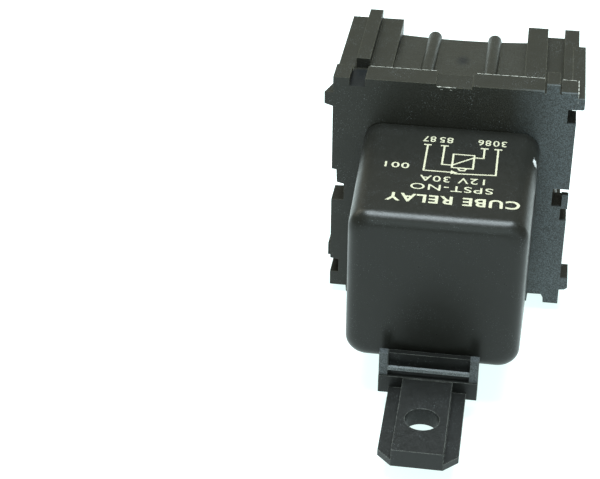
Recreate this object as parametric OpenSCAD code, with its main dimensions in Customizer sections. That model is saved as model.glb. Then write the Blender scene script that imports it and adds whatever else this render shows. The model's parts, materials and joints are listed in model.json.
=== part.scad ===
// Plug-in relay standing in its modular socket, with a clip-on mounting bracket.
// Units are millimetres. Z is up, and the relay pulls out of the socket along -Y.
// Most places are given from the lower left corner of the socket's front face,
// and placed() then moves that corner to the part's own origin.

/* [Socket] */
// Side of the square front face
face_w = 40; // [38:1:42]
// Thickness of the front plate
plate_t = 5; // [4:0.5:6]
// Depth from the front face to the back of the body
socket_depth = 27.75; // [26:0.25:30]
// Width of each rail and ridge standing on a side
ridge_w = 2.3; // [2:0.1:2.6]
// How far a ridge stands out past the front face's square
ridge_out = 1.4; // [1:0.1:1.6]
// Depth of the sunk panel in each side, at the back
recess_deep = 3.7; // [3:0.1:4]
// Depth of the upper and lower sunk panels, behind the plate
recess_shallow = 0.85; // [0.6:0.05:1.2]
// Depth of the left and right sunk panels, behind the plate
recess_side = 2.2; // [1.8:0.1:2.8]

/* [Relay] */
// Width of the cover at its open end
cover_w = 29.1; // [28:0.1:30]
// Height of the cover at its open end
cover_h = 28; // [27:0.1:29]
// Length of the cover, from the open end to its closed face
cover_len = 29.2; // [28:0.1:32]
// Draft of each side of the cover, in degrees
cover_draft = 1.6; // [1:0.1:2]
// Wall thickness of the cover
cover_wall = 1.2; // [1:0.1:1.4]
// Radius of the cover's long corners
cover_corner = 3.2; // [2.5:0.1:4]
// Radius of the rim around the closed face
cover_fillet = 2.3; // [1.5:0.1:3]
// Height of the relay's centre above the lower edge of the front face
relay_z = 18.8; // [18.5:0.1:19.5]

/* [Terminals] */
// Width of a blade terminal
blade_w = 6.3; // [6.2:0.1:6.4]
// Thickness of a blade terminal
blade_t = 0.8; // [0.75:0.05:0.85]
// Length of a blade in front of the relay's base
blade_len = 11.5; // [10:0.5:12]

/* [Bracket] */
// Width of the bracket's tab
tab_w = 12.2; // [11:0.1:13]
// Thickness of the tab at its raised pad
tab_t = 3; // [2.5:0.1:3.5]
// Diameter of the screw hole
hole_d = 5.3; // [5:0.1:5.6]
// Distance from the socket's front face to the tab's tip
tab_tip = 51; // [49:0.5:53]
// Distance from the socket's front face to the screw hole
hole_out = 43; // [42:0.5:44]

/* [Hidden] */
$fn = 48;
eps = 0.01;
fit = 0.05;                             // gap around a piece inside another
relay_x = face_w / 2;
relay_gap = 0.2;                        // relay's base to the socket's front face
foot = ridge_out;                       // lowest ridge, below the front face's edge
mid_y = (socket_depth - tab_tip) / 2;   // middle of the whole part along Y

// Pattern along one side of the body, measured from its corner
flange_end = 9.03;
ridge_at = 3.0;
ribs_at = [14.76, 25.36];
rib_r = 1.2;
wide_rail = [31.1, 34.6];
narrow_rail_at = 37.5;
rail_drop = 0.65;                       // rails lie this far inside the square
groove_d = 2.3;

// Cavities: rows and columns of the front face
cols = [12.2, 22.2, 31.0];
rows = [29.2, 20.3, 11.4];
arm_w = 8.4;
arm_t = 2.7;
post_w = 3.2;
cavity_back = socket_depth + 1;

// Terminals: place on the face, and 1 when the blade lies flat
terminal_30 = [cols[1], 10.7, 0];
terminal_87 = [cols[1], 29.2, 1];
terminal_85 = [cols[0], 19.55, 0];
terminal_86 = [cols[2], 19.55, 0];
terminals = [terminal_30, terminal_87, terminal_85, terminal_86];

// Inside of the relay, measured from the socket's front face, away from it
base_t = 2.4;
seal_t = 0.45;
base_back = relay_gap + base_t;
seal_back = base_back + seal_t;
coil_z = 17.6;
yoke_w = 14;
yoke_t = 1.6;
yoke_front = 4.2;                       // base leg of the yoke
yoke_end = 22.25;
yoke_bottom = 7.4;
core_r = 3.2;
pole_r = 4.6;
pole_face = 21.6;
bobbin_front = 6;
bobbin_end = 20.4;
bobbin_flange = 15.1;
flange_t = 1;
winding_r = 7.2;
armature_at = 22.4;                     // inner face of the armature
armature_t = 1.4;
armature_w = 13;
leaf_t = 0.25;
contact_z = 27.3;
contact_r = 1.6;
strip_t = 0.8;

// Bracket heights
tab_bottom = 2.1;
pad_w = 7.8;
step_h = 1.9;                           // side flanges lie this far below the pad
collar_w = 15.6;
collar_front = 33;
collar_back = 30.2;

// ---------------------------------------------------------------- helpers

// Puts the centre of the whole part's underside at the origin.
module placed() {
    translate([-relay_x, -mid_y, foot]) children();
}

// A box between two opposite corners.
module block(low, high) {
    translate(low) cube(high - low);
}

// Extrudes an outline drawn in X and Z from y0 to y1.
module along_y(y0, y1) {
    translate([0, y1, 0]) rotate([90, 0, 0]) linear_extrude(y1 - y0) children();
}

// A round bar along Y, centred on [x, z].
module bar_y(at, r, y0, y1) {
    along_y(y0, y1) translate(at) circle(r);
}

module rounded_rect(w, h, r) {
    square([w - 2 * r, h], center = true);
    square([w, h - 2 * r], center = true);
    for (x = [-1, 1], z = [-1, 1])
        translate([x * (w / 2 - r), z * (h / 2 - r)]) circle(r);
}

// Repeats a shape made for the lower edge on the upper edge.
module lower_and_upper() {
    children();
    translate([0, 0, face_w]) mirror([0, 0, 1]) children();
}

// Puts a shape made for the lower edge on the left edge.
module on_left() {
    rotate([0, 90, 0]) mirror([1, 0, 0]) children();
}

// Puts a shape made for the lower edge on the right edge.
module on_right() {
    translate([face_w, 0, 0]) mirror([1, 0, 0]) on_left() children();
}

// ----------------------------------------------------------------- socket

// Front outline: the square with its hooks, notches and locating tabs.
module plate_outline() {
    difference() {
        union() {
            square(face_w);
            translate([0, face_w - eps]) square([16.9, 0.5 + eps]);
            translate([22.8, face_w - eps]) square([11.7, 0.5 + eps]);
            translate([37.2, face_w - eps]) square([2.8, 0.45 + eps]);
            translate([34.8, face_w - 1]) square([2.1, 2.7]);
            polygon([[2.8, 0.1], [2.9, -1.2], [3.3, -foot], [5.1, -foot], [5.5, 0.1]]);
            polygon([[39.9, 2.87], [40.95, 3], [face_w + ridge_out, 3.4], [41.3, 5.1], [39.9, 5.1]]);
            polygon([[39.9, 37.6], [40.9, 37.6], [41.1, 37.8], [41.1, 39.3], [40.9, 39.5], [39.9, 39.5]]);
        }
        polygon([[17.05, -eps], [17.3, 0.75], [19.4, 0.85], [19.6, 2], [22.2, 2.1], [23.15, -eps]]);
        polygon([[34.6, -eps], [34.7, 1.6], [37, 1.65], [37.35, 1], [37.45, -eps]]);
        polygon([[37.3, 19.3], [38.95, 19.3], [38.95, 21.6], [40.1, 21.6], [40.1, 22.75], [37.3, 22.75]]);
        polygon([[38.85, 16.7], [40.1, 16.7], [40.1, 19.0], [38.85, 19.0]]);
        polygon([[38.5, 35], [40.1, 35], [40.1, 37.55], [38.5, 37.55]]);
        polygon([[-eps, 2.7], [1.45, 2.7], [1.45, 5.25], [-eps, 5.5]]);
        polygon([[-eps, 17.3], [2.15, 17.4], [2.1, 20.5], [0.9, 20.8], [0.8, 23.2], [-eps, 23.3]]);
        translate([2.7, face_w - 0.9]) square([2.6, 2]);
    }
}

// Sunk panel on the lower side: it deepens from start towards the back, and is
// a little hollow across its width.
module side_recess(start) {
    hollow_r = 173;
    slope = atan((recess_deep - start) / (socket_depth - plate_t));
    intersection() {
        block([flange_end, plate_t - 1, -1], [wide_rail[0], socket_depth + 1, 6]);
        translate([(flange_end + wide_rail[0]) / 2, plate_t, start + 0.3])
            rotate([slope, 0, 0]) translate([0, 0, -hollow_r]) rotate([-90, 0, 0])
                translate([0, 0, -10]) cylinder(r = hollow_r, h = socket_depth + 20, $fn = 360);
    }
}

// Everything cut from the lower side: panel, groove between the rails, the
// undercut behind the wide rail, and the step down from the front face's square.
module side_cuts(start, step_end = face_w + 1) {
    front = plate_t - 1;
    back = socket_depth + 1;
    side_recess(start);
    block([wide_rail[1], front, -1], [narrow_rail_at, back, groove_d]);
    block([wide_rail[0] - eps, plate_t + 11, 2.2], [wide_rail[0] + 1, back, 3.3]);
    block([-1, front, -1], [step_end, back, rail_drop]);
}

// The ridge that a neighbour's groove takes, standing out past the lower side.
module side_ridge(out) {
    block([ridge_at, plate_t, -out], [ridge_at + ridge_w, socket_depth, 1]);
}

// The two half-round ribs on the lower side's panel.
module side_ribs(start) {
    slope = atan((recess_deep - start) / (socket_depth - plate_t));
    for (x = ribs_at) intersection() {
        translate([x, socket_depth, recess_deep + 0.1]) rotate([90 + slope, 0, 0])
            translate([0, 0, -1]) cylinder(r = rib_r, h = socket_depth - plate_t + 2);
        block([x - 2, plate_t - eps, 0], [x + 2, socket_depth, 6]);
    }
}

// Hook on the left side: full at the front, running out at the plate's back.
module left_hook() {
    intersection() {
        along_y(0, plate_t) polygon([[0.1, 35.1], [-ridge_out, 35.55], [-ridge_out, 37.7], [0.1, 37.7]]);
        linear_extrude(face_w) polygon([[0.1, 0], [-ridge_out, 0], [0.1, plate_t]]);
    }
}

module cross_cavity(x, z, low, high, wide = arm_w) {
    translate([x - wide / 2, z - arm_t / 2]) square([wide, arm_t]);
    translate([x - post_w / 2, z + low]) square([post_w, high - low]);
}

// A stepped cavity: dir is 1 when its stem points up.
module tee_cavity(x, z, dir) {
    stem = 3;
    hat = 2.1;
    translate([x, z]) mirror([0, dir < 0 ? 1 : 0]) {
        translate([-3.15, -1.55]) square([6.3, 3.1]);
        translate([-stem / 2, 0]) square([stem, 2.7]);
        translate([-hat / 2, 0]) square([hat, 3.3]);
    }
}

module cavities() {
    cross_cavity(cols[1], rows[0], -2.7, 3.3);
    cross_cavity(cols[0], rows[1], -4.3, 2.8);
    cross_cavity(cols[1] + 0.3, rows[1], -4.2, 4.2);
    cross_cavity(cols[2], rows[1], -4.2, 4.2, 7.2);
    cross_cavity(cols[1], rows[2], -4.2, 2.8);
    for (x = [cols[0], cols[2]], row = [0, 2])
        tee_cavity(x, rows[row], 1 - row);
}

module socket_housing() color([0.20, 0.21, 0.20]) placed() difference() {
    union() {
        along_y(0, plate_t) plate_outline();
        difference() {
            block([0, plate_t - eps, 0], [face_w, socket_depth, face_w]);
            lower_and_upper() side_cuts(recess_shallow);
            on_left() side_cuts(recess_side, narrow_rail_at);
            on_right() side_cuts(recess_side, narrow_rail_at);
        }
        lower_and_upper() side_ribs(recess_shallow);
        on_left() side_ribs(recess_side);
        on_right() side_ribs(recess_side);
        left_hook();
        lower_and_upper() side_ridge(0.9);
        on_left() side_ridge(1.05);
        // deeper front half of the lower ridge, and the hook on the right side
        block([ridge_at, plate_t, -foot], [ridge_at + ridge_w, 18, 0]);
        block([face_w - 1, plate_t - eps, 37.6], [41.1, 20.6, 39.5]);
    }
    along_y(-1, cavity_back) cavities();
    // the notch in front of the upper ridge, and the hollow behind the right side's small lug
    block([2.7, -1, 39.1], [5.3, 7, 42]);
    block([38.9, 1, 19.5], [41, plate_t + 1, 22.75]);
}

// Female terminal: a sleeve for the blade, a neck and two crimp barrels.
module receptacle(terminal) {
    sleeve_w = 6.9;
    sleeve_t = 2.5;
    translate([terminal[0], 0, terminal[1]]) rotate([0, terminal[2] * 90, 0]) {
        difference() {
            block([-sleeve_t / 2, 1.2, -sleeve_w / 2], [sleeve_t / 2, 14, sleeve_w / 2]);
            block([-blade_t / 2 - fit, 1, -blade_w / 2 - fit], [blade_t / 2 + fit, 13, blade_w / 2 + fit]);
        }
        block([-sleeve_t / 2, 14, -1.3], [-sleeve_t / 2 + 0.4, 18, 1.3]);
        difference() {
            union() {
                bar_y([0, 0], sleeve_t / 2, 18, 22);
                bar_y([0, 0], sleeve_t / 2 + 0.05, 22.6, 27);
                block([-sleeve_t / 2, 17.5, -0.6], [-sleeve_t / 2 + 0.4, 23, 0.6]);
            }
            bar_y([0, 0], sleeve_t / 2 - 0.4, 17, 28);
        }
    }
}

module receptacle_30() color([0.80, 0.74, 0.55]) placed() receptacle(terminal_30);
module receptacle_87() color([0.80, 0.74, 0.55]) placed() receptacle(terminal_87);
module receptacle_85() color([0.80, 0.74, 0.55]) placed() receptacle(terminal_85);
module receptacle_86() color([0.80, 0.74, 0.55]) placed() receptacle(terminal_86);

// ------------------------------------------------------------ relay casing

// Moves to the relay's own axis: X and Z from its centre, Y out of the socket.
module relay_axis() {
    translate([relay_x, 0, relay_z]) rotate([90, 0, 0]) children();
}

// Solid with the cover's draft and rounded rim, smaller by inset all round.
module cover_form(inset, open_end) {
    rim_steps = 6;
    tan_draft = tan(cover_draft);
    rim = cover_fillet - inset;
    depth = cover_len + relay_gap - inset;
    relay_axis() hull() {
        translate([0, 0, open_end])
            linear_extrude(eps)
                rounded_rect(cover_w - 2 * inset, cover_h - 2 * inset, cover_corner - inset, $fn = 32);
        for (step = [0 : rim_steps]) {
            angle = 90 * step / rim_steps;
            z = depth - rim + rim * sin(angle);
            side = inset + tan_draft * z + rim * (1 - cos(angle));
            translate([0, 0, z - eps]) linear_extrude(eps)
                rounded_rect(cover_w - 2 * side, cover_h - 2 * side, max(cover_corner - inset - 0.5, 1), $fn = 32);
        }
    }
}

// Two rails under the cover hold the bracket's tongue.
module keeper_rails() {
    rail_x = tab_w / 2 + 0.15;
    for (side = [-1, 1]) translate([relay_x, 0, 0]) mirror([side < 0 ? 1 : 0, 0, 0]) {
        block([rail_x, -27, 1.4], [rail_x + 1.2, -13, 6]);
        block([rail_x - 1.2, -27, 1.4], [rail_x + eps, -13, 2]);
    }
}

module relay_cover() color([0.21, 0.23, 0.22]) placed() difference() {
    union() {
        cover_form(0, relay_gap);
        keeper_rails();
    }
    cover_form(cover_wall, relay_gap - 1);
}

module base_outline() {
    rounded_rect(cover_w - 2 * cover_wall - 0.4, cover_h - 2 * cover_wall - 0.4, 2);
}

module blade_slots(gap) {
    for (terminal = terminals)
        translate([terminal[0], -10, terminal[1]]) rotate([0, terminal[2] * 90, 0])
            block([-blade_t / 2 - gap, 0, -blade_w / 2 - gap], [blade_t / 2 + gap, 20, blade_w / 2 + gap]);
}

module relay_base() color([0.18, 0.18, 0.17]) placed() difference() {
    relay_axis() translate([0, 0, relay_gap]) linear_extrude(base_t) base_outline();
    blade_slots(0);
}

module base_seal() color([0.12, 0.12, 0.12]) placed() difference() {
    relay_axis() translate([0, 0, base_back]) linear_extrude(seal_t) base_outline();
    blade_slots(0);
}

// Clip-on bracket: a tongue under the cover, a collar with two posts and a
// cross bar in front of it, and a tab with a raised pad and a screw hole.
module mounting_bracket() color([0.20, 0.21, 0.20]) placed() translate([relay_x, 0, tab_bottom]) {
    chamfer = 2.2;
    step = tab_t - step_h;
    collar_t = tab_t + 0.15;
    post = 1.35;
    half = tab_w / 2;
    difference() {
        union() {
            linear_extrude(step) polygon([
                [-half, -collar_back], [-half, chamfer - tab_tip], [chamfer - half, -tab_tip],
                [half - chamfer, -tab_tip], [half, chamfer - tab_tip], [half, -collar_back]]);
            block([-pad_w / 2, -tab_tip, 0], [pad_w / 2, 0.5 - collar_front, tab_t]);
        }
        translate([0, -hole_out, -1]) cylinder(d = hole_d, h = tab_t + 2, $fn = 64);
    }
    block([-collar_w / 2, -collar_front, 0], [collar_w / 2, -collar_back, collar_t]);
    block([-half, -collar_back - eps, 0.1], [half, -14, 2.2]);
    block([post - collar_w / 2, -collar_back - 1, 0], [collar_w / 2 - post, -collar_back, 6.4]);
    for (side = [-1, 1]) translate([side * (collar_w - post) / 2 - post / 2, 0, 0])
        block([0, -collar_front + 0.3, 0], [post, -collar_front + 1.7, 7.2]);
    block([-collar_w / 2 + 1, -collar_front + 0.4, 4.05], [collar_w / 2 - 1, -collar_front + 0.9, 4.65]);
}

// --------------------------------------------------------------- terminals

// Blade with a bevelled tip, from the base's inner side to the tip.
module blade(terminal, inner_end) {
    bevel = 1.2;
    half = blade_w / 2;
    tip = blade_len - relay_gap;
    translate([terminal[0], 0, terminal[1]]) rotate([0, terminal[2] * 90, 0]) rotate([0, -90, 0])
        translate([0, 0, -blade_t / 2]) linear_extrude(blade_t) polygon([
            [-half, -inner_end], [half, -inner_end], [half, tip - bevel],
            [half - bevel, tip], [bevel - half, tip], [-half, tip - bevel]]);
}

module blade_30() color([0.78, 0.72, 0.52]) placed() blade(terminal_30, yoke_front);
module blade_87() color([0.78, 0.72, 0.52]) placed() blade(terminal_87, 4);
module blade_85() color([0.78, 0.72, 0.52]) placed() blade(terminal_85, 5);
module blade_86() color([0.78, 0.72, 0.52]) placed() blade(terminal_86, 5);

// -------------------------------------------------------------- relay works

module yoke() color([0.62, 0.63, 0.62]) placed() translate([relay_x, 0, 0]) {
    half = yoke_w / 2;
    block([-half, -yoke_end, yoke_bottom], [half, -yoke_front, yoke_bottom + yoke_t]);
    difference() {
        block([-half, -yoke_front - yoke_t, yoke_bottom], [half, -yoke_front, 24.4]);
        bar_y([0, coil_z], core_r, -20, 0);
    }
}

module core() color([0.70, 0.70, 0.69]) placed() translate([relay_x, 0, 0]) {
    bar_y([0, coil_z], core_r, -pole_face, -yoke_front);
    bar_y([0, coil_z], pole_r, -pole_face, 1 - pole_face);
}

module bobbin() color([0.85, 0.84, 0.78]) placed() translate([relay_x, 0, 0]) {
    half = bobbin_flange / 2;
    difference() {
        union() {
            bar_y([0, coil_z], core_r + 0.8, -bobbin_end, -bobbin_front);
            for (y = [bobbin_end, bobbin_front + flange_t])
                block([-half, -y, coil_z - half], [half, -y + flange_t, coil_z + half]);
        }
        bar_y([0, coil_z], core_r + fit, -30, 0);
    }
}

module winding() color([0.72, 0.38, 0.20]) placed() translate([relay_x, 0, 0]) difference() {
    bar_y([0, coil_z], winding_r, flange_t - bobbin_end, -bobbin_front - flange_t);
    bar_y([0, coil_z], core_r + 0.8 + fit, -30, 0);
}

// Wires from the coil's two ends to the coil terminals.
module coil_leads() color([0.75, 0.42, 0.24]) placed() {
    wire_r = 0.25;
    lead_y = -9;
    for (end = [[terminal_85[0], relay_x - winding_r], [terminal_86[0], relay_x + winding_r]]) {
        bar_y([end[0], terminal_85[1]], wire_r, lead_y, -5);
        translate([min(end[0], end[1]), lead_y, terminal_85[1]]) rotate([0, 90, 0])
            cylinder(r = wire_r, h = abs(end[1] - end[0]) + 0.3);
    }
}

// Leaf under the yoke that bends up behind the armature's foot.
module return_spring() color([0.75, 0.66, 0.42]) placed() translate([relay_x, 0, 0]) {
    outer = armature_at + armature_t + 0.05;
    block([-4, -outer - leaf_t, yoke_bottom - leaf_t], [4, -12, yoke_bottom]);
    block([-4, -outer - leaf_t, yoke_bottom - leaf_t], [4, -outer, 10.6]);
}

module fixed_contact_arm() color([0.78, 0.55, 0.35]) placed() translate([relay_x, 0, 0]) {
    arm_z = terminal_87[1] - strip_t / 2;
    bend = 20.45;
    block([-2, -bend - strip_t, arm_z], [2.4, -4, arm_z + strip_t]);
    block([-2, -bend - strip_t, 25.6], [2.4, -bend, arm_z + strip_t]);
}

module fixed_contact_tip() color([0.80, 0.80, 0.78]) placed()
    bar_y([relay_x, contact_z], contact_r, -21.97, -21.25);

// Bent strip that the contact leaf rests on while the coil is off.
module rest_stop() color([0.66, 0.62, 0.50]) placed() translate([relay_x, 0, 0]) {
    stop = armature_at + armature_t + leaf_t + fit;
    block([-2, -stop - 0.6, 30], [2, -seal_back, 30.6]);
    block([-2, -stop - 0.6, 28.2], [2, -stop, 30.6]);
}

// Flexible lead from the yoke to the side of the armature.
module braid() color([0.72, 0.44, 0.28]) placed() {
    lead_r = 0.7;
    bend_r = 1.5;
    lead_z = 12;
    yoke_side = relay_x - yoke_w / 2;
    lead_x = yoke_side - bend_r - 1;
    start = -yoke_front - 0.8;
    finish = -armature_at - 0.7;
    bar_y([lead_x, lead_z], lead_r, finish + bend_r, start - bend_r);
    for (end = [[start - bend_r, 90], [finish + bend_r, 180]])
        translate([lead_x + bend_r, end[0], lead_z]) rotate([0, 0, end[1]])
            rotate_extrude(angle = 90) translate([bend_r, 0]) circle(lead_r);
    for (y = [start, finish])
        translate([lead_x + bend_r, y, lead_z]) rotate([0, 90, 0])
            cylinder(r = lead_r, h = yoke_side - lead_x - bend_r);
}

module armature() color([0.66, 0.67, 0.66]) placed() translate([relay_x, 0, 0]) difference() {
    block([-armature_w / 2, -armature_at - armature_t, 8], [armature_w / 2, -armature_at, 24.5]);
    for (z = [14, 20])
        bar_y([0, z], 0.8, -30, 0);
}

module contact_spring() color([0.80, 0.62, 0.36]) placed() translate([relay_x, 0, 0]) {
    outer = armature_at + armature_t;
    difference() {
        block([-3, -outer - leaf_t, 11], [3, -outer, 29]);
        for (z = [14, 20])
            bar_y([0, z], 0.8, -30, 0);
    }
}

module moving_contact() color([0.82, 0.82, 0.80]) placed() {
    back = armature_at + armature_t;
    bar_y([relay_x, contact_z], contact_r, -back, 0.8 - back);
}

module armature_rivets() color([0.74, 0.72, 0.66]) placed() {
    head = armature_at + armature_t + leaf_t;
    for (z = [14, 20]) {
        bar_y([relay_x, z], 0.8, -head, -armature_at);
        bar_y([relay_x, z], 1.3, -head - 0.45, -head);
    }
}

socket_housing();
receptacle_30();
receptacle_87();
receptacle_85();
receptacle_86();
relay_cover();
relay_base();
base_seal();
mounting_bracket();
blade_30();
blade_87();
blade_85();
blade_86();
yoke();
core();
bobbin();
winding();
coil_leads();
return_spring();
fixed_contact_arm();
fixed_contact_tip();
rest_stop();
braid();
armature();
contact_spring();
moving_contact();
armature_rivets();
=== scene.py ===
"""Looks of a plug-in relay in its modular socket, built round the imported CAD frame.

Places are in millimetres from the lower left corner of the socket's front face:
X to the right, Y into the socket, Z up. at() turns them into the row's metres.
"""

import bpy
import bmesh
import json
import math
from mathutils import Matrix, Vector


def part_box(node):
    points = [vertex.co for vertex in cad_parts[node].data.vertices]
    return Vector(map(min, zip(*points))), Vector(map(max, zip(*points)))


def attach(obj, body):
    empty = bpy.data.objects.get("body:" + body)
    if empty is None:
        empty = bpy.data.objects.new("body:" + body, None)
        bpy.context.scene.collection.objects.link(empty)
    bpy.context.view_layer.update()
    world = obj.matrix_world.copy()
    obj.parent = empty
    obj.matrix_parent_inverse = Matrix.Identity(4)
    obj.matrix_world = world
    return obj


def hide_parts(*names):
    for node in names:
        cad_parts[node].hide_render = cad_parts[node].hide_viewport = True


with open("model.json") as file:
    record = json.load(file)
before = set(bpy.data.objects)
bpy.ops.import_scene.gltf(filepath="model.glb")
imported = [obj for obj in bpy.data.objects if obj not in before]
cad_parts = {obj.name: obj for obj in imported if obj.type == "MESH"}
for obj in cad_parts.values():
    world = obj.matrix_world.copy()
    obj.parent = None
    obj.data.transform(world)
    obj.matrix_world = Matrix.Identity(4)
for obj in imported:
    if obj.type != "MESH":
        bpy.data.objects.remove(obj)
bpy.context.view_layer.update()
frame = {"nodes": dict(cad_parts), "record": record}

MM = 0.001
RIDGE_OUT = 1.4
housing_low, housing_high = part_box("socket_housing")
CORNER = Vector((housing_low[0] / MM + RIDGE_OUT, housing_low[1] / MM, housing_low[2] / MM + RIDGE_OUT))

RELAY_X = 20.0
RELAY_Z = 18.8
RELAY_GAP = 0.2
COVER_W = 29.1
COVER_H = 28.0
COVER_END = 29.4
COVER_DRAFT = math.tan(math.radians(1.6))
COVER_CORNER = 3.2
COVER_RIM = 2.3
COVER_WALL = 1.2
PANEL_SINK = 0.05
INK_LIFT = 0.02
PRINT_SIDE = 0.6


def at(x, y, z):
    """A place given in millimetres from the face's corner, in metres in the row frame."""
    return (Vector((x, y, z)) + CORNER) * MM


# ------------------------------------------------------------------ materials


class Nodes:
    """Short names for making a node material."""

    def __init__(self, name):
        self.material = bpy.data.materials.new(name)
        self.material.use_nodes = True
        self.tree = self.material.node_tree
        self.shader = self.tree.nodes["Principled BSDF"]
        self.place = self.add("ShaderNodeTexCoord").outputs["Object"]

    def add(self, kind, **values):
        node = self.tree.nodes.new(kind)
        for key, value in values.items():
            setattr(node, key, value)
        return node

    def link(self, source, target):
        self.tree.links.new(source, target)

    def noise(self, size_mm, detail=3.0, roughness=0.55, stretch=(1, 1, 1)):
        """Noise whose features are about size_mm across."""
        mapping = self.add("ShaderNodeMapping")
        mapping.inputs["Scale"].default_value = stretch
        self.link(self.place, mapping.inputs["Vector"])
        node = self.add("ShaderNodeTexNoise")
        node.inputs["Scale"].default_value = 1 / (size_mm * MM)
        node.inputs["Detail"].default_value = detail
        node.inputs["Roughness"].default_value = roughness
        self.link(mapping.outputs["Vector"], node.inputs["Vector"])
        return node.outputs["Fac"]

    def ramp(self, source, low, high, start=(0, 0, 0, 1), end=(1, 1, 1, 1)):
        node = self.add("ShaderNodeValToRGB")
        node.color_ramp.elements[0].position = low
        node.color_ramp.elements[1].position = high
        node.color_ramp.elements[0].color = start
        node.color_ramp.elements[1].color = end
        self.link(source, node.inputs["Fac"])
        return node.outputs["Color"]

    def remap(self, source, low, high, out_low, out_high):
        node = self.add("ShaderNodeMapRange")
        for key, value in (("From Min", low), ("From Max", high), ("To Min", out_low), ("To Max", out_high)):
            node.inputs[key].default_value = value
        self.link(source, node.inputs["Value"])
        return node.outputs["Result"]

    def math(self, operation, first, second=0.0):
        node = self.add("ShaderNodeMath", operation=operation)
        for socket, value in zip(node.inputs, (first, second)):
            if isinstance(value, (int, float)):
                socket.default_value = value
            else:
                self.link(value, socket)
        return node.outputs["Value"]

    def mix(self, factor, first, second):
        """Blends two colours, each a list or a socket."""
        node = self.add("ShaderNodeMix", data_type="RGBA")
        self.link(factor, node.inputs["Factor"])
        for socket, value in ((node.inputs["A"], first), (node.inputs["B"], second)):
            if isinstance(value, (list, tuple)):
                socket.default_value = value
            else:
                self.link(value, socket)
        return node.outputs["Result"]

    def bump(self, height, distance_mm, strength=1.0, normal=None):
        node = self.add("ShaderNodeBump")
        node.inputs["Distance"].default_value = distance_mm * MM
        node.inputs["Strength"].default_value = strength
        self.link(height, node.inputs["Height"])
        if normal is not None:
            self.link(normal, node.inputs["Normal"])
        return node.outputs["Normal"]

    def near(self, place, radius_mm, stretch=(1, 1, 1)):
        """1 at a place in the row frame, falling to 0 at the radius."""
        shift = self.add("ShaderNodeVectorMath", operation="SUBTRACT")
        shift.inputs[1].default_value = place
        self.link(self.place, shift.inputs[0])
        squeeze = self.add("ShaderNodeVectorMath", operation="MULTIPLY")
        squeeze.inputs[1].default_value = stretch
        self.link(shift.outputs["Vector"], squeeze.inputs[0])
        length = self.add("ShaderNodeVectorMath", operation="LENGTH")
        self.link(squeeze.outputs["Vector"], length.inputs[0])
        return self.remap(length.outputs["Value"], 0.0, radius_mm * MM, 1.0, 0.0)

    def edge_wear_and_highlight_mask(self, radius_mm):
        """1 along sharp edges: how far a rounded-off normal leans away from the face's own."""
        rounded = self.add("ShaderNodeBevel", samples=4)
        rounded.inputs["Radius"].default_value = radius_mm * MM
        geometry = self.add("ShaderNodeNewGeometry")
        lean = self.add("ShaderNodeVectorMath", operation="DOT_PRODUCT")
        self.link(rounded.outputs["Normal"], lean.inputs[0])
        self.link(geometry.outputs["True Normal"], lean.inputs[1])
        return self.remap(lean.outputs["Value"], 0.97, 0.84, 0.0, 1.0)

    def edges(self, low, high):
        """0 on flat faces, 1 along convex edges, where wear and a painted edge highlight are laid."""
        pointiness = self.add("ShaderNodeNewGeometry").outputs["Pointiness"]
        return self.remap(pointiness, low, high, 0.0, 1.0)


def grey(value, tint=(1.0, 1.0, 1.0)):
    return [value * tint[0], value * tint[1], value * tint[2], 1.0]


def moulded_plastic(name, shade, tint, rough, grain_mm, grain_depth, sparkle, edge_wear_and_highlight, dense=False):
    """Black moulded nylon: cloudy colour, spark-eroded grain, pale flecks that are partly painted glints,
    and edges made paler partly by rubbing and partly by a painted edge highlight.
    """
    n = Nodes(name)
    cloud = n.noise(6.0, 4.0)
    fine = n.noise(0.35, 2.0)
    base = n.mix(cloud, grey(shade * 0.88, tint), grey(shade * 1.14, tint))
    # Pale flecks with lower roughness: partly fibre flecks, partly painted sparkle highlights (glints) on
    # the grain.
    fleck_glint_mask = n.ramp(n.noise(0.16, 1.0), 0.66, 0.74)
    patch = n.ramp(n.noise(4.5, 3.0), 0.42, 0.62)
    spot = n.math("MULTIPLY", n.math("MULTIPLY", fleck_glint_mask, patch), sparkle)
    flecks_and_glints = n.mix(spot, base, grey(0.32, (0.92, 1.0, 1.04)))
    sharp = n.edges(0.52, 0.60) if dense else n.edge_wear_and_highlight_mask(0.22)
    # Edges made paler: partly rubbed wear, partly a painted edge highlight where the bevels would catch
    # light.
    worn = n.math("MULTIPLY", sharp, n.remap(n.noise(0.8), 0.35, 0.65, 0.2, 1.0))
    n.link(n.mix(worn, flecks_and_glints, grey(edge_wear_and_highlight, tint)), n.shader.inputs["Base Color"])
    streaks = n.noise(1.6, 5.0, 0.7)
    varied = n.math("ADD", n.remap(streaks, 0.3, 0.7, rough - 0.03, rough + 0.04),
                    n.remap(fine, 0.3, 0.7, -0.05, 0.05))
    n.link(n.math("SUBTRACT", varied, n.math("MULTIPLY", spot, 0.15)), n.shader.inputs["Roughness"])
    n.shader.inputs["IOR"].default_value = 1.38
    waves = n.bump(n.noise(7.0, 1.0), 0.03, 0.6)
    grain = n.bump(n.noise(grain_mm, 2.0, 0.6), grain_depth, 1.0, waves)
    n.link(grain, n.shader.inputs["Normal"])
    return n


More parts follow.
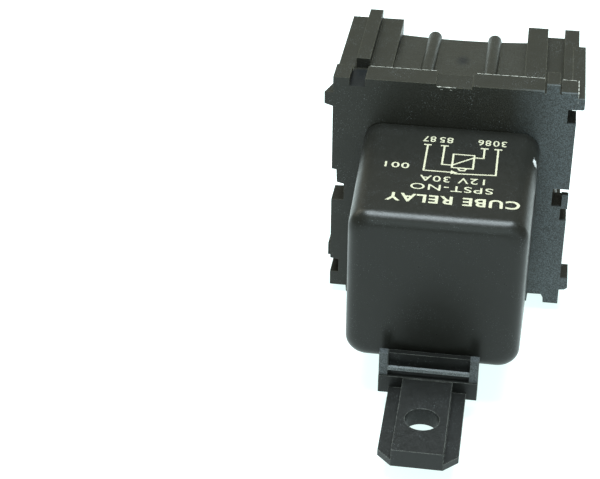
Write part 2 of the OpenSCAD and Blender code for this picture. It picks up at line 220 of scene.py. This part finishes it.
def socket_plastic():
    """Socket: grainy, with a painted sheen of pale specks on the front's right side, an oil spot, and
    painted shade in the notch on top.
    """
    n = moulded_plastic("socket_nylon", 0.0135, (1.0, 0.98, 0.72), 0.40, 0.26, 0.035, 0.4, 0.07)
    split = n.add("ShaderNodeSeparateXYZ")
    n.link(n.place, split.inputs["Vector"])
    # Painted sheen: the front's right side made paler and speckled, standing in for the light it catches
    # there.
    right = n.remap(split.outputs["X"], at(29, 0, 0).x, at(37, 0, 0).x, 0.0, 1.0)
    front = n.remap(split.outputs["Y"], at(0, 0.3, 0).y, at(0, 0.6, 0).y, 1.0, 0.0)
    specks = n.remap(n.noise(0.15, 2.0), 0.40, 0.64, 0.2, 1.0)
    painted_sheen = n.math("MULTIPLY", n.math("MULTIPLY", right, front), specks)
    colour = n.shader.inputs["Base Color"].links[0].from_socket
    with_painted_sheen = n.mix(painted_sheen, colour, grey(0.10, (0.84, 1.0, 1.08)))
    spot = n.ramp(n.near(at(20.4, 16.2, 37.6), 3.0, (1.6, 0.7, 1.0)), 0.2, 0.8)
    # Painted shade: the notch floor on top darkened where its walls shade it.
    painted_notch_shade = n.ramp(n.near(at(4.0, 3.0, 39.1), 4.0, (1.0, 1.0, 30.0)), 0.05, 0.2)
    # Darkens a real oil spot and the painted notch shade alike.
    stained_and_shaded = n.mix(n.math("MAXIMUM", spot, painted_notch_shade), with_painted_sheen, grey(0.004, (0.8, 1.0, 1.1)))
    n.link(stained_and_shaded, n.shader.inputs["Base Color"])
    return n.material


def cover_plastic():
    """Smooth black cover: the moulded plastic with a pale chip on one edge."""
    n = moulded_plastic("cover_nylon", 0.009, (1.0, 1.0, 0.82), 0.34, 0.30, 0.005, 0.22, 0.03, dense=True)
    n.shader.inputs["IOR"].default_value = 1.35
    chip_place = at(RELAY_X + 14.15, -7.0, RELAY_Z + 12.4)
    ragged = n.math("ADD", n.near(chip_place, 1.3, (1.0, 0.6, 1.0)),
                    n.remap(n.noise(0.5), 0.3, 0.7, -0.25, 0.25))
    chip = n.ramp(ragged, 0.48, 0.56)
    colour = n.shader.inputs["Base Color"].links[0].from_socket
    n.link(n.mix(chip, colour, grey(0.55, (0.98, 1.0, 1.0))), n.shader.inputs["Base Color"])
    return n.material


def bracket_plastic():
    """Bracket: smooth tab, and rough pale-flecked faces on the posts and the cross bar."""
    n = moulded_plastic("bracket_nylon", 0.0065, (1.0, 1.03, 0.92), 0.42, 0.22, 0.008, 0.3, 0.13)
    split = n.add("ShaderNodeSeparateXYZ")
    n.link(n.place, split.inputs["Vector"])
    collar_top = at(0, 0, 5.27).z
    post_front = at(0, -31.27, 0).y
    bar_half = 6.42 * MM
    high = n.remap(split.outputs["Z"], collar_top, collar_top + 0.03 * MM, 0.0, 1.0)
    front = n.remap(split.outputs["Y"], post_front, post_front + 0.05 * MM, 1.0, 0.0)
    bar = n.remap(n.math("ABSOLUTE", split.outputs["X"]), bar_half, bar_half + 0.04 * MM, 1.0, 0.0)
    speck = n.remap(n.noise(0.14, 2.0, 0.7), 0.40, 0.66, 0.2, 1.0)
    rough_face = n.math("MULTIPLY", n.math("MULTIPLY", high, front), speck)
    pale = n.mix(bar, grey(0.12, (0.9, 1.0, 1.06)), grey(0.28, (0.93, 1.0, 1.03)))
    colour = n.shader.inputs["Base Color"].links[0].from_socket
    n.link(n.mix(rough_face, colour, pale), n.shader.inputs["Base Color"])
    return n.material


def ink():
    """Pale printing ink with thin spots."""
    n = Nodes("print_ink")
    worn = n.ramp(n.noise(0.25, 4.0, 0.7), 0.30, 0.52)
    n.link(n.mix(worn, [0.20, 0.19, 0.135, 1], [0.38, 0.365, 0.26, 1]), n.shader.inputs["Base Color"])
    n.link(n.remap(n.noise(0.4), 0.3, 0.7, 0.45, 0.62), n.shader.inputs["Roughness"])
    n.link(n.bump(n.noise(0.12, 2.0), 0.006), n.shader.inputs["Normal"])
    return n.material


def metal(name, colour, rough, brush=(1, 1, 1), tarnish=(0.35, 0.28, 0.2, 1), amount=0.35):
    """Sheet or turned metal: brushing, a little tarnish and fine scratches."""
    n = Nodes(name)
    n.shader.inputs["Metallic"].default_value = 1.0
    dull = n.remap(n.noise(2.4, 5.0, 0.6), 0.45, 0.75, 0.0, amount)
    n.link(n.mix(dull, [*colour, 1], list(tarnish)), n.shader.inputs["Base Color"])
    brushed = n.noise(0.25, 3.0, 0.6, brush)
    n.link(n.remap(brushed, 0.3, 0.7, rough - 0.08, rough + 0.12), n.shader.inputs["Roughness"])
    n.link(n.bump(brushed, 0.004), n.shader.inputs["Normal"])
    return n.material


def resin():
    """Glossy potting resin with a soft unevenness."""
    n = Nodes("potting_resin")
    n.link(n.mix(n.noise(3.0), grey(0.010), grey(0.022)), n.shader.inputs["Base Color"])
    n.link(n.remap(n.noise(1.2), 0.3, 0.7, 0.12, 0.28), n.shader.inputs["Roughness"])
    n.link(n.bump(n.noise(2.5, 2.0), 0.08), n.shader.inputs["Normal"])
    return n.material


def bobbin_nylon():
    """Natural nylon: creamy, slightly translucent and softly mottled."""
    n = Nodes("natural_nylon")
    cream = n.mix(n.noise(2.0, 4.0), [0.62, 0.58, 0.46, 1], [0.76, 0.72, 0.60, 1])
    n.link(cream, n.shader.inputs["Base Color"])
    n.link(n.remap(n.noise(0.5), 0.3, 0.7, 0.36, 0.5), n.shader.inputs["Roughness"])
    n.shader.inputs["Subsurface Weight"].default_value = 0.15
    n.shader.inputs["Subsurface Scale"].default_value = 0.4 * MM
    n.link(n.bump(n.noise(0.3), 0.01), n.shader.inputs["Normal"])
    return n.material


def build_materials():
    return {
        "socket_plastic": socket_plastic(),
        "cover_plastic": cover_plastic(),
        "bracket_plastic": bracket_plastic(),
        "base_plastic": moulded_plastic(
            "phenolic", 0.014, (1.05, 1.0, 0.92), 0.55, 0.25, 0.015, 0.2, 0.03).material,
        "epoxy": resin(),
        "tinned_brass": metal("tinned_brass", (0.66, 0.63, 0.54), 0.30, (1, 0.15, 1)),
        "plated_steel": metal("plated_steel", (0.52, 0.53, 0.52), 0.34, (1, 0.2, 1), (0.30, 0.29, 0.27, 1)),
        "bobbin_nylon": bobbin_nylon(),
        "copper_wire": metal("enamelled_copper", (0.60, 0.25, 0.09), 0.22, (1, 4, 1), (0.28, 0.10, 0.04, 1)),
        "copper_strip": metal("copper_strip", (0.70, 0.38, 0.22), 0.33, (1, 0.15, 1), (0.30, 0.16, 0.10, 1)),
        "spring_bronze": metal("spring_bronze", (0.64, 0.47, 0.22), 0.27, (1, 1, 0.15)),
        "contact_silver": metal("contact_silver", (0.78, 0.78, 0.75), 0.24, (1, 1, 1), (0.4, 0.38, 0.33, 1)),
    }


# --------------------------------------------------------------------- pieces


def finish_piece(name, mesh, material, body, smooth=True):
    """Makes the object, shades it and lets it ride on its body."""
    piece = bpy.data.objects.new(name, mesh)
    bpy.context.scene.collection.objects.link(piece)
    mesh.materials.clear()
    mesh.materials.append(material)
    mesh.polygons.foreach_set("use_smooth", [smooth] * len(mesh.polygons))
    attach(piece, body)
    return piece


def soften(piece, width_mm, segments=2, angle=35):
    """Rounds the sharp edges of a plain solid without moving its faces."""
    weld = piece.modifiers.new("weld", "WELD")
    weld.merge_threshold = 0.001 * MM
    flat = piece.modifiers.new("flat", "DECIMATE")
    flat.decimate_type = "DISSOLVE"
    flat.angle_limit = math.radians(0.5)
    bevel = piece.modifiers.new("bevel", "BEVEL")
    bevel.width = width_mm * MM
    bevel.segments = segments
    bevel.limit_method = "ANGLE"
    bevel.angle_limit = math.radians(angle)
    bevel.use_clamp_overlap = True
    even = piece.modifiers.new("even", "WEIGHTED_NORMAL")
    even.mode = "FACE_AREA"
    even.weight = 80


def panel_sink(u, v):
    """How far a moulded panel has sunk, in mm, at u and v from -1 to 1 across it."""
    return PANEL_SINK * max(0.0, 1 - u * u) * max(0.0, 1 - v * v)


def ring(half_w, half_h, corner, out, panels=True):
    """A rounded rectangle across the relay, out millimetres from the socket."""
    straight = 14
    arc = 10
    points = []
    v = 2 * out / COVER_END - 1
    for quarter in range(4):
        turn = quarter * math.pi / 2
        wide, tall = (half_w, half_h) if quarter % 2 == 0 else (half_h, half_w)
        for i in range(arc + 1):
            angle = math.pi / 2 * i / arc
            across = wide - corner + corner * math.cos(angle)
            points.append((turn, across, tall - corner + corner * math.sin(angle)))
        for i in range(1, straight):
            t = i / straight
            x = (wide - corner) * (1 - 2 * t)
            sink = panel_sink(x / (wide - corner), v) if panels else 0.0
            points.append((turn, x, tall - sink))
    placed = []
    for turn, x, z in points:
        px = x * math.cos(turn) - z * math.sin(turn)
        pz = x * math.sin(turn) + z * math.cos(turn)
        placed.append(at(RELAY_X + px, -out, RELAY_Z + pz))
    return placed


def cover_rings(wall):
    """Rings of the cover's skin, wall millimetres inside the outer one, from the open end."""
    rim = COVER_RIM - wall
    end = COVER_END - wall
    side_steps = 24
    rim_steps = 10
    rings = []
    stations = [(RELAY_GAP + (end - rim - RELAY_GAP) * i / side_steps, 0.0) for i in range(side_steps + 1)]
    stations += [(end - rim + rim * math.sin(a), rim * (1 - math.cos(a)))
                 for a in (math.pi / 2 * i / rim_steps for i in range(1, rim_steps + 1))]
    for out, inset in stations:
        side = wall + COVER_DRAFT * out + inset
        corner = max(COVER_CORNER - wall - inset * 0.35, 0.8)
        rings.append(ring(COVER_W / 2 - side, COVER_H / 2 - side, corner, out))
    return rings


def shrink(points, factor):
    """A ring drawn in towards its own middle."""
    centre = sum(points, Vector()) / len(points)
    return [centre + (p - centre) * factor for p in points]


def make_cover(material):
    """The cover: outer skin, inner skin and the flat lip between them."""
    outer = cover_rings(0.0)
    inner = cover_rings(COVER_WALL)
    caps = [0.85, 0.6, 0.3]
    loops = [shrink(inner[-1], f) for f in reversed(caps)] + inner[::-1]
    loops += outer + [shrink(outer[-1], f) for f in caps]
    bm = bmesh.new()
    rows = [[bm.verts.new(p) for p in loop] for loop in loops]
    count = len(rows[0])
    for a, b in zip(rows, rows[1:]):
        for i in range(count):
            j = (i + 1) % count
            bm.faces.new((a[i], a[j], b[j], b[i]))
    bm.faces.new(rows[0])
    bm.faces.new(rows[-1])
    bmesh.ops.recalc_face_normals(bm, faces=bm.faces)
    mesh = bpy.data.meshes.new("cover_shell")
    bm.to_mesh(mesh)
    bm.free()
    piece = finish_piece("cover_shell", mesh, material, "relay")
    lip = piece.modifiers.new("lip", "BEVEL")
    lip.width = 0.15 * MM
    lip.segments = 2
    lip.limit_method = "ANGLE"
    lip.angle_limit = math.radians(50)
    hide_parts("relay_cover")
    return piece


def add_block(bm, low, high):
    made = bmesh.ops.create_cube(bm, size=1.0)["verts"]
    low, high = at(*low), at(*high)
    for vert in made:
        vert.co = Vector(low[i] + (vert.co[i] + 0.5) * (high[i] - low[i]) for i in range(3))


def make_keeper(material):
    """Two hooked rails under the cover that hold the bracket's tongue."""
    bm = bmesh.new()
    rail_x = 6.25
    rail_w = 1.2
    front, back = -27, -13
    bottom, hook_top, rail_top = 1.4, 2, 6
    for side in (-1, 1):
        near, far = sorted((RELAY_X + side * rail_x, RELAY_X + side * (rail_x + rail_w)))
        add_block(bm, (near, front, bottom), (far, back, rail_top))
        near, far = sorted((RELAY_X + side * (rail_x - rail_w), RELAY_X + side * rail_x))
        add_block(bm, (near, front, bottom), (far, back, hook_top))
    mesh = bpy.data.meshes.new("cover_keeper")
    bm.to_mesh(mesh)
    bm.free()
    piece = finish_piece("cover_keeper", mesh, material, "relay", smooth=False)
    bevel = piece.modifiers.new("bevel", "BEVEL")
    bevel.width = 0.15 * MM
    bevel.segments = 2
    return piece


# ---------------------------------------------------------------------- print


def top_height(x, out):
    """Height of the cover's upper face, x from the relay's middle, out from the socket."""
    half = COVER_W / 2 - COVER_DRAFT * out - COVER_CORNER
    sink = panel_sink(x / half, 2 * out / COVER_END - 1)
    return RELAY_Z + COVER_H / 2 - COVER_DRAFT * out - sink + INK_LIFT


def ink_mesh(name, polygons, material):
    """Lays flat polygons, in mm from the relay's middle and out of the socket, on the cover."""
    bm = bmesh.new()
    for polygon in polygons:
        bm.faces.new([bm.verts.new((x, out, 0)) for x, out in polygon])
    print_on_cover(bm)
    mesh = bpy.data.meshes.new(name)
    bm.to_mesh(mesh)
    bm.free()
    return finish_piece(name, mesh, material, "relay", smooth=False)


def print_on_cover(bm):
    """Gives the flat ink its thickness and moves it from the print's plane onto the cover."""
    thickness = 0.03
    faces = bm.faces[:]
    raised = bmesh.ops.extrude_face_region(bm, geom=faces)["geom"]
    top = [v for v in raised if isinstance(v, bmesh.types.BMVert)]
    bmesh.ops.translate(bm, verts=top, vec=(0, 0, -thickness))
    for vert in bm.verts:
        x, out, lift = vert.co
        vert.co = at(RELAY_X + PRINT_SIDE + x, -out, top_height(x, out) + lift)
    bmesh.ops.recalc_face_normals(bm, faces=bm.faces)


def stroke(points, width, closed=False):
    """One quad for each stretch of a line, lengthened by half its width at both ends."""
    quads = []
    ends = points[1:] + points[:1] if closed else points[1:]
    for (ax, ay), (bx, by) in zip(points, ends):
        length = math.hypot(bx - ax, by - ay)
        tx, ty = (bx - ax) / length * width / 2, (by - ay) / length * width / 2
        quads.append([(ax - tx - ty, ay - ty + tx), (ax - tx + ty, ay - ty - tx),
                      (bx + tx + ty, by + ty - tx), (bx + tx - ty, by + ty + tx)])
    return quads


def make_diagram(material):
    """The usual circuit of a make-contact relay: coil between 85 and 86, contact from 30 to 87."""
    line = 0.30
    foot = 6.3
    leg_87, leg_85, leg_86, leg_30 = -4.1, -1.37, 5.08, 7.27
    contact = 14.5
    coil_left, coil_right = 0.25, 3.6
    coil_near, coil_far = 8.75, 13.0
    tap_85, tap_86 = 12.25, 9.45
    coil = [(coil_left, coil_near), (coil_right, coil_near), (coil_right, coil_far), (coil_left, coil_far)]
    shapes = stroke([(leg_87, foot), (leg_87, contact), (0.6, contact)], line)
    shapes += stroke([(leg_30, foot), (leg_30, contact), (0.9, contact + 0.35)], line)
    shapes += stroke([(leg_85, foot), (leg_85, tap_85), (coil_left, tap_85)], line)
    shapes += stroke([(coil_right, tap_86), (leg_86, tap_86), (leg_86, foot)], line)
    shapes += stroke(coil, line, closed=True)
    shapes += stroke([(coil_left, tap_85), (coil_right, tap_86)], line)
    shapes += stroke([(1.3, 13.25), (1.55, 13.75), (2.25, 13.75), (2.5, 13.25)], line)
    shapes.append([(0.2, 13.95), (1.3, 14.5), (0.2, 15.05)])
    for leg in (leg_87, leg_85, leg_86, leg_30):
        shapes += stroke([(leg - 0.45, foot), (leg + 0.45, foot)], line * 1.2)
    return ink_mesh("print_diagram", shapes, material)


def make_words(name, words, material, bold):
    """Text lying on the cover, read from behind the socket: (text, middle x, middle out, width, height)."""
    bm = bmesh.new()
    for text, x, out, width, height in words:
        curve = bpy.data.curves.new(name, "FONT")
        curve.body = text
        curve.size = 1.0
        curve.resolution_u = 6
        curve.offset = bold
        curve.space_character = 1.12
        holder = bpy.data.objects.new(name, curve)
        bpy.context.scene.collection.objects.link(holder)
        evaluated = holder.evaluated_get(bpy.context.evaluated_depsgraph_get())
        mesh = bpy.data.meshes.new_from_object(evaluated)
        bpy.data.objects.remove(holder)
        bpy.data.curves.remove(curve)
        xs = [v.co.x for v in mesh.vertices]
        ys = [v.co.y for v in mesh.vertices]
        scale_x = width / (max(xs) - min(xs))
        scale_y = height / (max(ys) - min(ys))
        for vert in mesh.vertices:
            along = (vert.co.x - (max(xs) + min(xs)) / 2) * scale_x
            up = (vert.co.y - (max(ys) + min(ys)) / 2) * scale_y
            vert.co = (x - along, out + up, 0)
        bm.from_mesh(mesh)
        bpy.data.meshes.remove(mesh)
    print_on_cover(bm)
    mesh = bpy.data.meshes.new(name)
    bm.to_mesh(mesh)
    bm.free()
    return finish_piece(name, mesh, material, "relay", smooth=False)


def make_print(material):
    """The circuit, the terminal numbers and a few generic words."""
    digits = 1.8
    make_diagram(material)
    make_words("print_terminals", [
        ("87", -3.97, 4.4, 2.1, digits), ("85", -1.2, 4.4, 2.2, digits),
        ("86", 4.98, 4.4, 2.1, digits), ("30", 7.45, 4.4, 2.2, digits)], material, 0.008)
    make_words("print_batch", [("001", -8.4, 13.5, 3.9, 1.7)], material, 0.01)
    make_words("print_rating", [
        ("12V 30A", 0.6, 16.85, 10.2, 1.75), ("SPST-NO", 0.7, 19.5, 12.8, 1.75)], material, 0.005)
    make_words("print_title", [("CUBE RELAY", 1.1, 23.1, 20.6, 2.4)], material, 0.022)


# ---------------------------------------------------------------------- flash and painted highlights


def flash_highlight_plastic():
    """Thin moulding flash, pale as a painted edge highlight: paler and shinier than the black plastic it
    stands on.
    """
    n = Nodes("flash_highlight_nylon")
    # Pale colour: a painted highlight along the plate's edges, laid on thin flash geometry.
    n.link(n.mix(n.noise(0.5, 2.0), grey(0.18, (1.0, 0.98, 0.88)), grey(0.62, (1.0, 0.99, 0.90))),
           n.shader.inputs["Base Color"])
    n.link(n.remap(n.noise(0.3), 0.3, 0.7, 0.25, 0.45), n.shader.inputs["Roughness"])
    n.link(n.bump(n.noise(0.2), 0.02), n.shader.inputs["Normal"])
    return n.material


def make_flash(name, runs, material):
    """Ragged pale slivers along the mould's parting lines, partly flash and partly painted edge highlights:
    runs of (start, end, width).
    """
    bm = bmesh.new()
    for start, end, width in runs:
        start, end = Vector(start), Vector(end)
        along = (end - start).normalized()
        side = along.cross(Vector((0, 0, 1)))
        side = side.normalized() if side.length > 0.1 else Vector((1, 0, 0))
        up = side.cross(along)
        count = max(3, int((end - start).length / 0.35))
        rings = []
        for i in range(count + 1):
            place = start + (end - start) * i / count
            size = width * (0.55 + 0.45 * math.sin(i * 2.4) * math.sin(i * 0.9 + 1))
            wide, tall = side * size, up * size
            corners = (wide + tall, tall - wide, -wide - tall, wide - tall)
            rings.append([bm.verts.new(at(*(place + corner * 0.5))) for corner in corners])
        for a, b in zip(rings, rings[1:]):
            for k in range(4):
                bm.faces.new((a[k], a[(k + 1) % 4], b[(k + 1) % 4], b[k]))
        bm.faces.new(rings[0])
        bm.faces.new(rings[-1])
    bmesh.ops.recalc_face_normals(bm, faces=bm.faces)
    mesh = bpy.data.meshes.new(name)
    bm.to_mesh(mesh)
    bm.free()
    return finish_piece(name, mesh, material, "socket", smooth=False)


def make_socket_flash(material):
    """Slivers along the front plate's upper edges and down its right corner."""
    plate_back = 5.0
    rear_top = 40.48
    make_flash("flash_rear_edge", [
        ((5.6, plate_back, rear_top), (16.6, plate_back, rear_top), 0.13),
        ((23.3, plate_back, rear_top), (34.4, plate_back, rear_top), 0.15),
        ((37.3, plate_back, 40.42), (39.8, plate_back, 40.42), 0.15)], material)
    make_flash("flash_corner", [
        ((39.95, 9.0, 39.37), (39.95, plate_back, 39.37), 0.12),
        ((39.95, plate_back, 40.42), (39.95, 0.0, 40.42), 0.16),
        ((39.95, 0.02, 40.4), (39.95, 0.02, 38.8), 0.10)], material)
    make_flash("flash_front_edge", [
        ((17.1, 0.05, 39.98), (20.1, 0.05, 39.98), 0.16),
        ((17.5, 0.03, 39.55), (20.2, 0.03, 39.55), 0.09)], material)


# ------------------------------------------------------------ stage and lights


def make_floor():
    """Pale floor, bright enough to read as a plain white sweep."""
    n = Nodes("pale_floor")
    n.link(n.mix(n.noise(60.0), grey(0.30), grey(0.33)), n.shader.inputs["Base Color"])
    n.shader.inputs["Roughness"].default_value = 0.9
    n.shader.inputs["Specular IOR Level"].default_value = 0.1
    n.shader.inputs["Emission Color"].default_value = (0.82, 1.0, 0.98, 1)
    n.shader.inputs["Emission Strength"].default_value = 0.98
    half = 1.5
    mesh = bpy.data.meshes.new("floor")
    corners = [(-half, -half, 0), (half, -half, 0), (half, half, 0), (-half, half, 0)]
    mesh.from_pydata(corners, [], [(0, 1, 2, 3)])
    mesh.materials.append(n.material)
    floor = bpy.data.objects.new("floor", mesh)
    floor.location.z = -0.02 * MM
    bpy.context.scene.collection.objects.link(floor)


def make_world():
    """Even room light, seen as plain white behind the object."""
    world = bpy.data.worlds.new("room")
    bpy.context.scene.world = world
    world.use_nodes = True
    tree = world.node_tree
    lit = tree.nodes["Background"]
    lit.inputs["Color"].default_value = (0.99, 1.0, 0.82, 1)
    lit.inputs["Strength"].default_value = 0.26
    seen = tree.nodes.new("ShaderNodeBackground")
    seen.inputs["Color"].default_value = (1, 1, 1, 1)
    seen.inputs["Strength"].default_value = 1.0
    path = tree.nodes.new("ShaderNodeLightPath")
    mix = tree.nodes.new("ShaderNodeMixShader")
    tree.links.new(path.outputs["Is Camera Ray"], mix.inputs["Fac"])
    tree.links.new(lit.outputs["Background"], mix.inputs[1])
    tree.links.new(seen.outputs["Background"], mix.inputs[2])
    tree.links.new(mix.outputs["Shader"], tree.nodes["World Output"].inputs["Surface"])


def area_light(name, place, target, size, power, colour):
    light = bpy.data.lights.new(name, "AREA")
    light.shape = "RECTANGLE"
    light.size, light.size_y = size
    light.energy = power
    light.color = colour
    lamp = bpy.data.objects.new(name, light)
    lamp.location = place
    lamp.rotation_euler = (Vector(target) - Vector(place)).to_track_quat("-Z", "Y").to_euler()
    bpy.context.scene.collection.objects.link(lamp)


def make_lights():
    middle = (0.0, -0.005, 0.02)
    area_light("overhead", (-0.01, 0.03, 0.50), middle, (0.36, 0.27), 6.4, (0.83, 0.95, 1.0))
    area_light("left_warm", (-0.36, 0.22, 0.30), middle, (0.3, 0.3), 0.6, (1.0, 0.97, 0.80))
    area_light("front_fill", (0.05, -0.55, 0.36), middle, (0.6, 0.5), 1.9, (0.78, 0.97, 1.0))
    area_light("right_cool", (0.42, -0.42, 0.16), middle, (0.25, 0.25), 0.3, (0.82, 0.96, 1.0))


def make_camera():
    """The viewpoint: in front of the relay and above it, with a long lens."""
    camera = bpy.data.cameras.new("camera")
    camera.lens = 96.2
    camera.sensor_width = 36.0
    camera.clip_start = 0.01
    camera.clip_end = 10
    holder = bpy.data.objects.new("camera", camera)
    holder.location = (0.01068, -0.22509, 0.15638)
    right = Vector((0.98819, 0.15315, 0.00427))
    up = Vector((-0.08347, 0.51481, 0.85323))
    holder.rotation_euler = Matrix((right, up, right.cross(up))).transposed().to_euler()
    bpy.context.scene.collection.objects.link(holder)
    bpy.context.scene.camera = holder
    bpy.context.scene.view_settings.view_transform = "Standard"


# ------------------------------------------------------------------------ main


def dress_frame(materials):
    """Gives each CAD node its material and softens its edges."""
    slots = {part["node"]: part["material_slot"] for part in frame["record"]["subparts"]}
    widths = {"socket_housing": 0.14, "mounting_bracket": 0.14, "relay_base": 0.1}
    for name, piece in frame["nodes"].items():
        piece.data.materials.clear()
        piece.data.materials.append(materials[slots[name]])
        piece.data.polygons.foreach_set("use_smooth", [True] * len(piece.data.polygons))
        soften(piece, widths.get(name, 0.05))


make_camera()
make_world()
make_floor()
make_lights()
finishes = build_materials()
dress_frame(finishes)
make_cover(finishes["cover_plastic"])
make_keeper(finishes["cover_plastic"])
make_print(ink())
make_socket_flash(flash_highlight_plastic())
